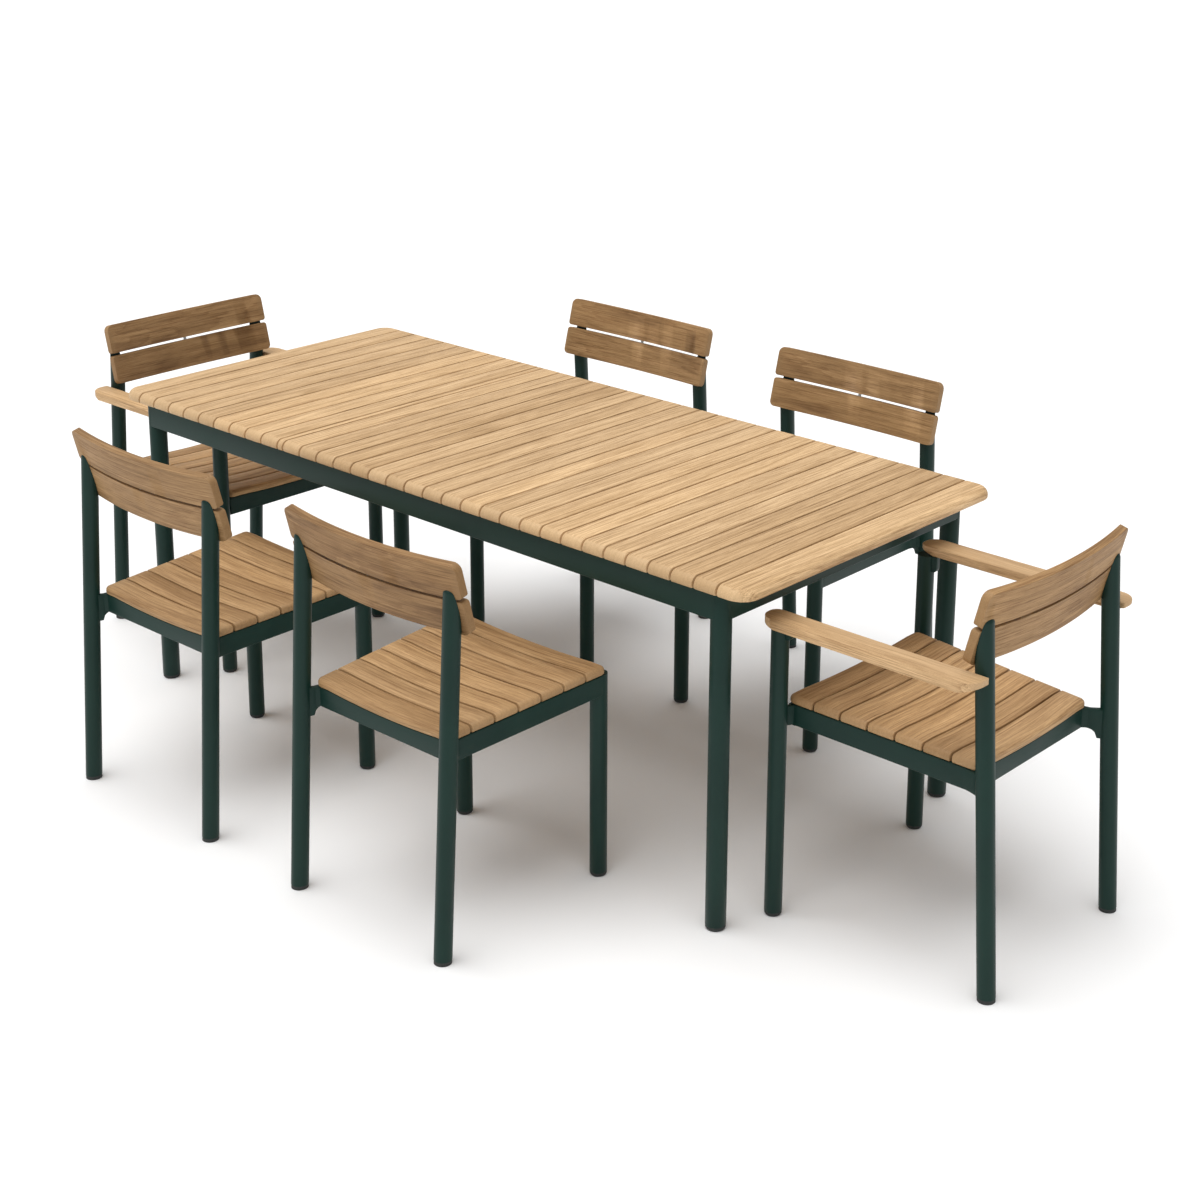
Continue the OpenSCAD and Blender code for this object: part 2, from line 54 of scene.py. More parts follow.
LEFT_SLATS = 10
MIDDLE_SLATS = 14
RIGHT_SLATS = 9
TOP_CORNER_R = 0.042    # the tabletop's corners, seen from above
TOP_RIM_R = 0.0165
TOP_UNDER_R = 0.005
TABLE_RAIL_W = 0.025
END_RAIL_UNDER_R = 0.0045
TABLE_LEG_R = 0.021

LEG_R = 0.018
LEG_TOP = 0.752         # measured up the leaning rear leg
FOOT = 0.008            # the glide under each leg

SEAT_RAIL_Z = 0.447     # top of the seat rails, at the front legs
SEAT_SLOPE = math.radians(2.2)
SEAT_SLATS = 7
SEAT_T = 0.018
SEAT_DIP = 0.006
HALF_FRONT = 0.217
HALF_BACK = 0.192
SEAT_CORNER_R = 0.014
SEAT_RIM_R = 0.0085
SEAT_UNDER_R = 0.0055

RAIL_H = 0.043
RAIL_W = 0.020
RAIL_IN = 0.003         # the seat rails' set-back from the slats' edge
CONNECTOR_T = 0.010     # the plates that join the seat rails to the legs
CONNECTOR_IN = 0.012
CONNECTOR_BACK = 0.014
WEB_T = 0.011           # the swept web between a side rail and its rear leg
WEB_START = 0.030
WEB_SHORT = 0.004
ELBOW_R = 0.019
STRAP_W = 0.028         # the flat strap under the middle of the seat
STRAP_T = 0.004
SIDE_BAR_BACK = 0.004   # a side chair's side bars start this far behind the front one's face

BACK_R = 1.300          # the bow of the back slats
BACK_T = 0.017
BACK_H = 0.072
BACK_GAP = 0.0065
BACK_W = 0.484
BACK_Z = 0.657
BACK_RIM_R = 0.0068
RECLINE = math.radians(14.5)

ARM_TOP = 0.647
ARM_T = 0.021
ARM_W = 0.052
ARM_BEHIND = 0.022      # how far an armrest runs on behind the rear leg
ARM_NOSE = 0.011        # what the undercut leaves of its thickness at each end
ARM_CUT_RUN = 0.034
ARM_CUT_RISE = 0.010
ARM_UNDER_R = 0.0065
# outer side 1 or inner side -1, front end 1 or rear end -1, radius seen from above
ARM_CORNERS = ((-1, -1, 0.004), (1, -1, 0.044), (1, 1, 0.028), (-1, 1, 0.018))
GUSSET = (0.012, 0.020, 0.034)
GUSSET_R = 0.010

ARRIS = 0.0018          # lightly eased edges: planks and plates, seat bars, and rails and rims
BAR_ARRIS = 0.0022
RAIL_ARRIS = 0.0028
TUBE_ARRIS = 0.0015
FOOT_ARRIS = 0.001
GUSSET_ARRIS = 0.0012
STRAP_ARRIS = 0.0008

# ---------------------------------------------------------------- how finely the pieces are modelled

NEAR = 0.002            # what counts as lying on the same side of a board
DIP_STEPS = 9
BOW_STEPS = 14
SWEEP_STEPS = 14
SMOOTH = math.radians(35)
END_GRAIN_AND_SHADE = 0.010       # the length at each end of a plank that shows end grain and is darkened as painted shade

SIDE = dict(arms=False, front=0.006, depth=0.408, front_x=0.199, rear_x=0.212,
            foot_back=0.042, lean=math.radians(3.2), ahead=0.014)
ARM = dict(arms=True, front=-0.001, depth=0.426, front_x=0.243, rear_x=0.220,
           foot_back=0.062, lean=math.radians(3.7), ahead=0.016)


# ---------------------------------------------------------------- where things lie on a chair c
# The chair's own origin is on the floor, midway between its front legs, and it faces +Y.

def back_edge(c):
    return c["front"] - c["depth"]


def half_width(c, y):
    """The seat narrows evenly from front to back."""
    return HALF_FRONT + (HALF_BACK - HALF_FRONT) * (c["front"] - y) / c["depth"]


def rear_foot_y(c):
    return back_edge(c) - c["foot_back"]


def rear_leg_y(c, z):
    return rear_foot_y(c) + z * math.tan(c["lean"])


def seat_pitch(c):
    return (c["depth"] + SLAT_GAP) / SEAT_SLATS


def dip_half(c, i):
    """Half the width of the dip in slat i, kept clear of the legs at its narrower end."""
    y = c["front"] - i * seat_pitch(c)
    return min(half_width(c, y), half_width(c, y - seat_pitch(c))) - 2 * LEG_R - HAIR


def dip(x, a):
    """The drop at x, as part of a round arc that is SEAT_DIP deep and 2a wide."""
    if abs(x) >= a:
        return 0.0
    r = (a * a + SEAT_DIP * SEAT_DIP) / (2 * SEAT_DIP)
    return r - SEAT_DIP - math.sqrt(r * r - x * x)


def seat_axes():
    return Matrix.Translation((0, 0, SEAT_RAIL_Z)) @ Matrix.Rotation(SEAT_SLOPE, 4, "X")


def back_axes(c):
    tie = BACK_R - math.sqrt(BACK_R ** 2 - c["rear_x"] ** 2)
    y = rear_leg_y(c, BACK_Z) + c["ahead"] + BACK_T - tie
    return Matrix.Translation((0, y, BACK_Z)) @ Matrix.Rotation(RECLINE, 4, "X")


def rear_leg_axes(c, side):
    return Matrix.Translation((side * c["rear_x"], rear_foot_y(c), 0)) @ Matrix.Rotation(-c["lean"], 4, "X")


# ---------------------------------------------------------------- modelling by hand, in code

def clear_selection():
    if bpy.context.mode != "OBJECT":
        bpy.ops.object.mode_set(mode="OBJECT")
    bpy.ops.object.select_all(action="DESELECT")


def take(obj):
    clear_selection()
    obj.select_set(True)
    bpy.context.view_layer.objects.active = obj


def edges_where(obj, test):
    """Selects just the edges that pass the test, in edit mode."""
    bpy.ops.mesh.select_mode(type="EDGE")
    bpy.ops.mesh.select_all(action="DESELECT")
    bm = bmesh.from_edit_mesh(obj.data)
    bm.normal_update()
    found = [e for e in bm.edges if test(e)]
    for e in found:
        e.select_set(True)
    bmesh.update_edit_mesh(obj.data)
    return len(found)


def verts_where(obj, test):
    """Selects just the points that pass the test, in edit mode."""
    bpy.ops.mesh.select_mode(type="VERT")
    bpy.ops.mesh.select_all(action="DESELECT")
    bm = bmesh.from_edit_mesh(obj.data)
    found = [v for v in bm.verts if test(v.co)]
    for v in found:
        v.select_set(True)
    bmesh.update_edit_mesh(obj.data)
    return len(found)


def ease(obj, test, width, segments=3):
    """Rounds over the edges that pass the test."""
    if edges_where(obj, test):
        bpy.ops.mesh.bevel(offset=width, offset_type="OFFSET", segments=segments, profile=0.5,
                           affect="EDGES", clamp_overlap=True)


def crease(e, axis):
    """A sharp edge round a side whose normal runs along axis."""
    n = [f.normal for f in e.link_faces]
    return len(n) == 2 and n[0].dot(n[1]) < 0.8 and max(abs(n[0][axis]), abs(n[1][axis])) > 0.99


def along(e, axis):
    """An edge that runs along axis, or nearly."""
    d = (e.verts[0].co - e.verts[1].co).normalized()
    return abs(d[axis]) > 0.95


def rim(e, sign, flat=0.99, side=0.95):
    """An edge between the top (sign 1) or bottom (sign -1) face and a side."""
    z = [f.normal.z * sign for f in e.link_faces]
    return len(z) == 2 and max(z) > flat and min(z) < side


def rim_end(e, sign, axis):
    """The part of a rim that runs across the end of a board that lies along axis."""
    return rim(e, sign) and max(abs(f.normal[axis]) for f in e.link_faces) > 0.7


def border(e, axis, flat, side):
    """An edge where a face square to axis meets one that is not."""
    n = [abs(f.normal[axis]) for f in e.link_faces]
    return len(n) == 2 and max(n) > flat and min(n) < side


def block(name, size, middle=(0, 0, 0)):
    """A block of that size, left in edit mode for shaping."""
    clear_selection()
    bpy.ops.mesh.primitive_cube_add(size=1, location=middle, scale=size)
    obj = bpy.context.object
    obj.name = name
    bpy.ops.object.transform_apply(location=True, rotation=True, scale=True)
    bpy.ops.object.mode_set(mode="EDIT")
    return obj


def rod(name, r, length, low, sides):
    """A round bar standing on z = low, left in edit mode for shaping."""
    clear_selection()
    middle = (0, 0, low + length / 2)
    bpy.ops.mesh.primitive_cylinder_add(vertices=sides, radius=r, depth=length, location=middle)
    obj = bpy.context.object
    obj.name = name
    bpy.ops.object.transform_apply(location=True, rotation=True, scale=True)
    bpy.ops.object.mode_set(mode="EDIT")
    return obj


def slice_off(point, normal):
    """Cuts away what lies past the plane, on the side its normal points to, and closes the cut."""
    bpy.ops.mesh.select_all(action="SELECT")
    bpy.ops.mesh.bisect(plane_co=point, plane_no=normal, use_fill=True, clear_outer=True)


def columns(obj, stations, axis=0):
    """Adds a row of edges across the board at each station."""
    normal = [0, 0, 0]
    normal[axis] = 1
    for s in stations:
        point = [0, 0, 0]
        point[axis] = s
        bpy.ops.mesh.select_all(action="SELECT")
        bpy.ops.mesh.bisect(plane_co=point, plane_no=normal)


def bow(obj, rise, direction, axis=0, only=lambda co: True):
    """Moves each row of points by rise(station) along a direction; only says which points may move."""
    same_row = 2e-5
    slack = 5e-6
    rows = []
    for s in sorted(v.co[axis] for v in bmesh.from_edit_mesh(obj.data).verts):
        if not rows or s - rows[-1][1] > same_row:
            rows.append([s, s])
        rows[-1][1] = s
    for low, high in rows:
        amount = rise((low + high) / 2)
        if abs(amount) < 1e-6:
            continue
        if verts_where(obj, lambda co: low - slack < co[axis] < high + slack and only(co)):
            bpy.ops.transform.translate(value=tuple(amount * d for d in direction))


def grain_marks(obj, axis, plank):
    """Keeps where each point lay in the straight plank, with its length first, and the plank's number."""
    bpy.ops.object.mode_set(mode="OBJECT")
    me = obj.data
    order = (0, 1, 2) if axis == 0 else (1, 0, 2)
    flat = [v.co[a] for v in me.vertices for a in order]
    me.attributes.new("grain", "FLOAT_VECTOR", "POINT")
    me.attributes["grain"].data.foreach_set("vector", flat)
    me.attributes.new("plank", "INT", "POINT")
    me.attributes["plank"].data.foreach_set("value", [plank] * len(me.vertices))
    # Marks the points near each end, where the teak darkens: end grain, and painted shade on the rounded
    # end.
    ends = [v.co[axis] for v in me.vertices]
    low, high = min(ends), max(ends)
    me.attributes.new("end_grain_and_shade", "FLOAT", "POINT")
    me.attributes["end_grain_and_shade"].data.foreach_set(
        "value", [1.0 if min(p - low, high - p) < END_GRAIN_AND_SHADE else 0.0 for p in ends])
    bpy.ops.object.mode_set(mode="EDIT")


def settle(obj, place=Matrix.Identity(4)):
    """Leaves edit mode, puts the piece in its place and smooths its shading."""
    bpy.ops.object.mode_set(mode="OBJECT")
    take(obj)
    obj.matrix_world = place @ obj.matrix_world
    bpy.ops.object.transform_apply(location=True, rotation=True, scale=True)
    bpy.ops.object.shade_smooth_by_angle(angle=SMOOTH)
    return obj


def together(name, parts):
    """Joins the parts into one piece of that name."""
    clear_selection()
    for p in parts:
        p.select_set(True)
    bpy.context.view_layer.objects.active = parts[0]
    if len(parts) > 1:
        bpy.ops.object.join()
    obj = bpy.context.object
    obj.name = name
    obj.data.name = name
    return obj


def copy_to(obj, name, place):
    """A copy with a mesh of its own, put in its place."""
    new = obj.copy()
    new.data = obj.data.copy()
    new.name = name
    new.data.name = name
    bpy.context.collection.objects.link(new)
    take(new)
    new.matrix_world = place
    bpy.ops.object.transform_apply(location=True, rotation=True, scale=True)
    return new


def shuffle_grain(obj):
    """Gives every plank its own stretch of timber and its own shade."""
    me = obj.data
    if "grain" not in me.attributes:
        return
    n = len(me.vertices)
    vec = [0.0] * (3 * n)
    num = [0] * n
    me.attributes["grain"].data.foreach_get("vector", vec)
    me.attributes["plank"].data.foreach_get("value", num)
    planks = sorted(set(num))
    jump = {k: [dice.uniform(-40, 40) for a in range(3)] for k in planks}
    shade = {k: dice.uniform(0, 1) for k in planks}
    tilt = {k: dice.uniform(-0.02, 0.02) for k in planks}
    for i, k in enumerate(num):
        vec[3 * i + 1] += tilt[k] * vec[3 * i]
        for a in range(3):
            vec[3 * i + a] += jump[k][a]
    me.attributes["grain"].data.foreach_set("vector", vec)
    me.attributes.new("shade", "FLOAT", "POINT")
    me.attributes["shade"].data.foreach_set("value", [shade[k] for k in num])


# ---------------------------------------------------------------- finishes

def new_finish(name):
    mat = bpy.data.materials.new(name)
    mat.use_nodes = True
    tree = mat.node_tree
    return mat, tree, tree.nodes["Principled BSDF"]


def noise(tree, vector, scale, detail, rough, distortion=0.0):
    n = tree.nodes.new("ShaderNodeTexNoise")
    n.inputs["Scale"].default_value = scale
    n.inputs["Detail"].default_value = detail
    n.inputs["Roughness"].default_value = rough
    n.inputs["Distortion"].default_value = distortion
    tree.links.new(vector, n.inputs["Vector"])
    return n.outputs["Fac"]


def stretch(tree, vector, scale):
    """Scales a pattern by a different amount along each axis; a small number draws it out."""
    m = tree.nodes.new("ShaderNodeMapping")
    m.inputs["Scale"].default_value = scale
    tree.links.new(vector, m.inputs["Vector"])
    return m.outputs["Vector"]


def ramp(tree, value, stops):
    """Turns a value into colours; each stop is a place from 0 to 1 and its colour."""
    r = tree.nodes.new("ShaderNodeValToRGB")
    while len(r.color_ramp.elements) < len(stops):
        r.color_ramp.elements.new(0.5)
    for el, (pos, col) in zip(r.color_ramp.elements, stops):
        el.position = pos
        el.color = (*col, 1)
    tree.links.new(value, r.inputs["Fac"])
    return r.outputs["Color"]


def mix_colour(tree, amount, a, b, kind="MIX"):
    m = tree.nodes.new("ShaderNodeMix")
    m.data_type = "RGBA"
    m.blend_type = kind
    sockets = [s for s in m.inputs if s.enabled]
    for value, socket in zip((amount, a, b), sockets):
        if hasattr(value, "links"):
            tree.links.new(value, socket)
        elif isinstance(value, tuple):
            socket.default_value = (*value, 1)
        else:
            socket.default_value = value
    return [s for s in m.outputs if s.enabled][0]


def maths(tree, kind, a, b):
    m = tree.nodes.new("ShaderNodeMath")
    m.operation = kind
    for value, socket in zip((a, b), m.inputs):
        if hasattr(value, "links"):
            tree.links.new(value, socket)
        else:
            socket.default_value = value
    return m.outputs[0]


def bumps(tree, shader, height, strength, distance):
    b = tree.nodes.new("ShaderNodeBump")
    b.inputs["Strength"].default_value = strength
    b.inputs["Distance"].default_value = distance
    tree.links.new(height, b.inputs["Height"])
    tree.links.new(b.outputs["Normal"], shader.inputs["Normal"])


def attribute(tree, name):
    node = tree.nodes.new("ShaderNodeAttribute")
    node.attribute_name = name
    return node.outputs


def growth_rings(tree, grain):
    """Long, slightly wavy bands across a plank's width."""
    rings = tree.nodes.new("ShaderNodeTexWave")
    rings.wave_type = "BANDS"
    rings.bands_direction = "Y"
    rings.wave_profile = "SAW"
    rings.inputs["Scale"].default_value = 30
    rings.inputs["Distortion"].default_value = 6.0
    rings.inputs["Detail"].default_value = 2.5
    rings.inputs["Detail Scale"].default_value = 1.2
    tree.links.new(stretch(tree, grain, (0.22, 1, 1)), rings.inputs["Vector"])
    return rings.outputs["Fac"]


def oiled_teak(name, light, middle, dark):
    """Teak with long streaks, a slow figure, fine pores and a shade of its own on every plank."""
    mat, tree, shader = new_finish(name)
    grain = attribute(tree, "grain")["Vector"]
    figure = noise(tree, stretch(tree, grain, (1.4, 15, 15)), 2.2, 3, 0.5, 1.3)
    streaks = noise(tree, stretch(tree, grain, (1.8, 150, 150)), 3.0, 5, 0.68)
    fibres = noise(tree, stretch(tree, grain, (8, 460, 460)), 3.0, 3, 0.6)
    pores = noise(tree, stretch(tree, grain, (30, 1100, 1100)), 1.4, 2, 0.5)
    close = noise(tree, grain, 700, 3, 0.6)

    tone = ramp(tree, figure, [(0.30, dark), (0.5, middle), (0.72, light)])
    ring = ramp(tree, growth_rings(tree, grain), [(0.0, (1.04, 1.04, 1.03)), (0.70, (0.96, 0.95, 0.93)),
                                                  (0.93, (0.70, 0.63, 0.55)), (1.0, (0.80, 0.75, 0.69))])
    streak = ramp(tree, streaks, [(0.36, (0.50, 0.41, 0.32)), (0.46, (0.90, 0.87, 0.83)),
                                  (0.68, (1.22, 1.22, 1.20))])
    fibre = ramp(tree, fibres, [(0.36, (0.74, 0.69, 0.62)), (0.56, (1.05, 1.05, 1.05))])
    pore = ramp(tree, pores, [(0.33, (0.55, 0.46, 0.38)), (0.40, (1, 1, 1))])
    for amount, pattern in ((0.6, ring), (0.8, streak), (0.7, fibre), (0.6, pore)):
        tone = mix_colour(tree, amount, tone, pattern, "MULTIPLY")
    # Near each end the colour darkens: end grain, and painted shade on the rounded end.
    sawn_and_shaded = ramp(tree, close, [(0.3, dark), (0.7, middle)])
    tone = mix_colour(tree, maths(tree, "MULTIPLY", attribute(tree, "end_grain_and_shade")["Fac"], 0.7), tone, sawn_and_shaded)
    plank = ramp(tree, attribute(tree, "shade")["Fac"], [(0.0, (0.84, 0.80, 0.74)), (0.5, (1, 1, 1)),
                                                         (1.0, (1.12, 1.11, 1.08))])
    tone = mix_colour(tree, 0.85, tone, plank, "MULTIPLY")
    tree.links.new(tone, shader.inputs["Base Color"])

    rough = ramp(tree, streaks, [(0.3, (0.64,) * 3), (0.7, (0.48,) * 3)])
    tree.links.new(rough, shader.inputs["Roughness"])
    shader.inputs["Specular IOR Level"].default_value = 0.3
    height = maths(tree, "ADD", maths(tree, "MULTIPLY", streaks, 0.6), maths(tree, "MULTIPLY", pores, 0.4))
    bumps(tree, shader, height, 0.4, 0.0006)
    return mat


def powder_coat(name, colour, deeper):
    """Baked paint: a faint orange peel, slightly uneven gloss and a trace of dust."""
    mat, tree, shader = new_finish(name)
    co = tree.nodes.new("ShaderNodeTexCoord").outputs["Object"]
    cloud = noise(tree, co, 7, 4, 0.6)
    peel = noise(tree, co, 900, 2, 0.5)
    speck = noise(tree, co, 260, 2, 0.5)
    tone = ramp(tree, cloud, [(0.3, deeper), (0.7, colour)])
    dust = ramp(tree, speck, [(0.62, (1, 1, 1)), (0.78, (1.22, 1.2, 1.18))])
    tone = mix_colour(tree, 0.5, tone, dust, "MULTIPLY")
    tree.links.new(tone, shader.inputs["Base Color"])
    rough = ramp(tree, cloud, [(0.3, (0.33,) * 3), (0.7, (0.46,) * 3)])
    tree.links.new(rough, shader.inputs["Roughness"])
    shader.inputs["Specular IOR Level"].default_value = 0.2
    bumps(tree, shader, peel, 0.12, 0.0004)
    return mat


def bright_steel(name):
    """Stainless steel with fine turning marks."""
    mat, tree, shader = new_finish(name)
    co = tree.nodes.new("ShaderNodeTexCoord").outputs["Object"]
    turned = noise(tree, stretch(tree, co, (1, 1, 6)), 420, 2, 0.6)
    tone = ramp(tree, turned, [(0.3, (0.42, 0.42, 0.41)), (0.7, (0.60, 0.60, 0.58))])
    tree.links.new(tone, shader.inputs["Base Color"])
    shader.inputs["Metallic"].default_value = 1.0
    rough = ramp(tree, turned, [(0.3, (0.28,) * 3), (0.7, (0.45,) * 3)])
    tree.links.new(rough, shader.inputs["Roughness"])
    bumps(tree, shader, turned, 0.1, 0.0002)
    return mat


def moulded_glide(name):
    """Black plastic, a little scuffed."""
    mat, tree, shader = new_finish(name)
    co = tree.nodes.new("ShaderNodeTexCoord").outputs["Object"]
    scuff = noise(tree, co, 180, 4, 0.65)
    tone = ramp(tree, scuff, [(0.35, (0.010, 0.013, 0.012)), (0.75, (0.035, 0.038, 0.036))])
    tree.links.new(tone, shader.inputs["Base Color"])
    rough = ramp(tree, scuff, [(0.3, (0.5,) * 3), (0.7, (0.75,) * 3)])
    tree.links.new(rough, shader.inputs["Roughness"])
    bumps(tree, shader, scuff, 0.2, 0.0004)
    return mat


TABLE_TEAK = oiled_teak("tabletop_teak", (0.745, 0.53, 0.31), (0.66, 0.46, 0.262), (0.54, 0.36, 0.19))
SEAT_TEAK = oiled_teak("seat_teak", (0.57, 0.37, 0.192), (0.48, 0.302, 0.15), (0.37, 0.222, 0.103))
# A darker copy of the teak for the back slats: painted shade.
SHADED_BACK_TEAK = oiled_teak("shaded_back_teak", (0.44, 0.272, 0.130), (0.36, 0.217, 0.098), (0.27, 0.157, 0.069))
ARM_TEAK = oiled_teak("arm_teak", (0.70, 0.48, 0.272), (0.61, 0.41, 0.224), (0.49, 0.315, 0.162))
GREEN = powder_coat("dark_green_powder_coat", (0.009, 0.034, 0.026), (0.006, 0.026, 0.020))
STEEL = bright_steel("stainless_fixings")
GLIDE = moulded_glide("black_glides")


def dress(obj, mat):
    obj.data.materials.clear()
    obj.data.materials.append(mat)


def finish_piece(obj, mat, slot, body, *nodes):
    """Gives a piece its finish and its timber, hangs it on its body and hides the parts it takes the place
    of.
    """
    dress(obj, mat)
    shuffle_grain(obj)
    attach(obj, body)
    if nodes:
        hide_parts(*nodes)


def box_middle(lo, hi):
    return Vector(((lo.x + hi.x) / 2, (lo.y + hi.y) / 2, (lo.z + hi.z) / 2))


# ---------------------------------------------------------------- tabletop

def table_plank(name, width, corner=None):
    """One slat along Y with its middle at the origin; corner is an end slat's outer side, -1 or 1."""
    lo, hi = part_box("table_middle_slats")
    obj = block(name, (width, hi.y - lo.y, hi.z - lo.z))
    if corner:
        ease(obj, lambda e: along(e, 2) and e.verts[0].co.x * corner > 0, TOP_CORNER_R, 8)

    def outer(e, sign):
        """A rim edge at the ends, and on an end slat round its corners and outer side too."""
        if rim_end(e, sign, 1) or not corner:
            return rim_end(e, sign, 1)
        beside = max(v.co.x * corner for v in e.verts) > width / 2 - TOP_CORNER_R - NEAR / 2
        inner_side = along(e, 1) and e.verts[0].co.x * corner < 0
        return rim(e, sign) and beside and not inner_side
    ease(obj, lambda e: outer(e, 1), TOP_RIM_R, 7)
    ease(obj, lambda e: outer(e, -1), TOP_UNDER_R, 3)
    ease(obj, lambda e: crease(e, 0), ARRIS, 2)
    return obj


def lay_table():
    """Lays the three fields of slats across the table, and the narrow filler strip."""
    lo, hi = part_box("table_middle_slats")
    middle = box_middle(lo, hi)
    pitch = (hi.x - lo.x + SLAT_GAP) / MIDDLE_SLATS
    width = pitch - SLAT_GAP
    number = 0
    for node, count, end in (("table_left_slats", LEFT_SLATS, -1), ("table_middle_slats", MIDDLE_SLATS, 0),
                             ("table_right_slats", RIGHT_SLATS, 1)):
        a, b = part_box(node)
        start = b.x - count * pitch + SLAT_GAP if end == -1 else a.x
        end_slat = {-1: 0, 1: count - 1}.get(end)
        plain = None
        planks = []
        for i in range(count):
            corner = end if i == end_slat else None
            x0 = a.x if corner == -1 else start + i * pitch
            x1 = b.x if corner == 1 else start + i * pitch + width
            x = (x0 + x1) / 2
            if corner or plain is None:
                p = table_plank(f"{node}_{i}", x1 - x0, corner)
                grain_marks(p, 1, number)
                settle(p, Matrix.Translation((x, middle.y, middle.z)))
                if not corner:
                    plain = p
                    plain_x = x
            else:
                p = copy_to(plain, f"{node}_{i}", Matrix.Translation((x - plain_x, 0, 0)))
                p.data.attributes["plank"].data.foreach_set("value", [number] * len(p.data.vertices))
            planks.append(p)
            number += 1
        finish_piece(together(node + "_boards", planks), TABLE_TEAK, "tabletop_wood", "table", node)
    a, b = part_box("table_filler_strip")
    p = table_plank("filler_strip_board", b.x - a.x)
    grain_marks(p, 1, 0)
    settle(p, Matrix.Translation(((a.x + b.x) / 2, middle.y, middle.z)))
    finish_piece(p, TABLE_TEAK, "tabletop_wood", "table", "table_filler_strip")


# ---------------------------------------------------------------- table frame

def frame_table():
    """The long rails, the end rails and the four legs, in painted tube."""
    lo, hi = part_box("table_long_rails")
    middle = box_middle(lo, hi)
    rails = []
    for y in (lo.y + TABLE_RAIL_W / 2, hi.y - TABLE_RAIL_W / 2):
        rail = block("long_rail", (hi.x - lo.x, TABLE_RAIL_W, hi.z - lo.z), (middle.x, y, middle.z))
        ease(rail, lambda e: along(e, 0), RAIL_ARRIS)
        rails.append(settle(rail))
    finish_piece(together("long_rail_tubes", rails), GREEN, "frame_paint", "table", "table_long_rails")

    lo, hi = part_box("table_end_rails")
    middle = box_middle(lo, hi)
    rails = []
    for x in (lo.x + TABLE_RAIL_W / 2, hi.x - TABLE_RAIL_W / 2):
        rail = block("end_rail", (TABLE_RAIL_W, hi.y - lo.y, hi.z - lo.z), (x, middle.y, middle.z))
        ease(rail, lambda e: along(e, 1) and e.verts[0].co.z < middle.z, END_RAIL_UNDER_R, 4)
        ease(rail, lambda e: along(e, 1) and e.verts[0].co.z > middle.z
             and border(e, 2, 0.9, 0.1), RAIL_ARRIS)
        rails.append(settle(rail))
    finish_piece(together("end_rail_tubes", rails), GREEN, "frame_paint", "table", "table_end_rails")

    lo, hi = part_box("table_legs")
    posts = []
    for x in (lo.x + TABLE_LEG_R, hi.x - TABLE_LEG_R):
        for y in (lo.y + TABLE_LEG_R, hi.y - TABLE_LEG_R):
            post = rod("post", TABLE_LEG_R, hi.z - lo.z, lo.z, 64)
            ease(post, lambda e: rim(e, -1), TUBE_ARRIS, 2)
            ease(post, lambda e: rim(e, 1), TUBE_ARRIS, 2)
            posts.append(settle(post, Matrix.Translation((x, y, 0))))
    finish_piece(together("table_leg_tubes", posts), GREEN, "frame_paint", "table", "table_legs")


# ---------------------------------------------------------------- chair pieces, round the chair's own origin

def dip_stations(a):
    return [a * k / DIP_STEPS for k in range(-DIP_STEPS, DIP_STEPS + 1)]


def seat_boards(c):
    """The dipped seat slats; the first and the last have round corners and a round free side."""
    boards = []
    pitch = seat_pitch(c)
    for i in range(SEAT_SLATS):
        y1 = c["front"] - i * pitch
        y0 = y1 - (pitch - SLAT_GAP)
        w1 = half_width(c, y1)
        w0 = half_width(c, y0)
        free_y = {0: y1, SEAT_SLATS - 1: y0}.get(i)
        board = block("seat_board", (2 * w1, y1 - y0, SEAT_T), (0, (y0 + y1) / 2, SEAT_T / 2))
        for side in (-1, 1):
            slice_off((side * w1, y1, 0), (side * (y1 - y0), w0 - w1, 0))

        def at_free_side(e):
            return free_y is not None and abs(e.verts[0].co.y - free_y) < NEAR

        def outer(e, sign):
            return rim(e, sign) and (not along(e, 0) or at_free_side(e))
        ease(board, lambda e: along(e, 2) and at_free_side(e), SEAT_CORNER_R, 6)
        ease(board, lambda e: outer(e, 1), SEAT_RIM_R, 5)
        ease(board, lambda e: outer(e, -1), SEAT_UNDER_R)
        ease(board, lambda e: crease(e, 1), ARRIS, 2)
        a = dip_half(c, i)
        columns(board, dip_stations(a))
        grain_marks(board, 0, i)
        bow(board, lambda x: dip(x, a), (0, 0, 1))
        boards.append(settle(board, seat_axes()))
    return together("seat_boards", boards)


def back_boards(c):
    """Two bowed slats, one above the other; the outer corners are rounder than those at the gap."""
    boards = []
    for k, low_r, top_r in ((0, 0.012, 0.0075), (1, 0.0075, 0.016)):
        z0 = k * (BACK_H + BACK_GAP)
        z1 = z0 + BACK_H
        board = block("back_board", (BACK_W, BACK_T, BACK_H), (0, -BACK_T / 2, BACK_H / 2 + z0))
        ease(board, lambda e: along(e, 1) and e.verts[0].co.z > z1 - NEAR, top_r, 6)
        ease(board, lambda e: along(e, 1) and e.verts[0].co.z < z0 + NEAR, low_r, 6)

        def ends_and_top(e):
            return border(e, 1, 0.99, 0.9) and (not along(e, 0) or k == 1 and e.verts[0].co.z > z1 - NEAR)
        ease(board, ends_and_top, BACK_RIM_R, 5)
        ease(board, lambda e: border(e, 1, 0.99, 0.9) and along(e, 0), RAIL_ARRIS)
        columns(board, [BACK_W / 2 * j / BOW_STEPS for j in range(1 - BOW_STEPS, BOW_STEPS)])
        grain_marks(board, 0, k)
        bow(board, lambda x: BACK_R - math.sqrt(BACK_R ** 2 - x * x), (0, 1, 0))
        boards.append(settle(board, back_axes(c)))
    return together("back_boards", boards)


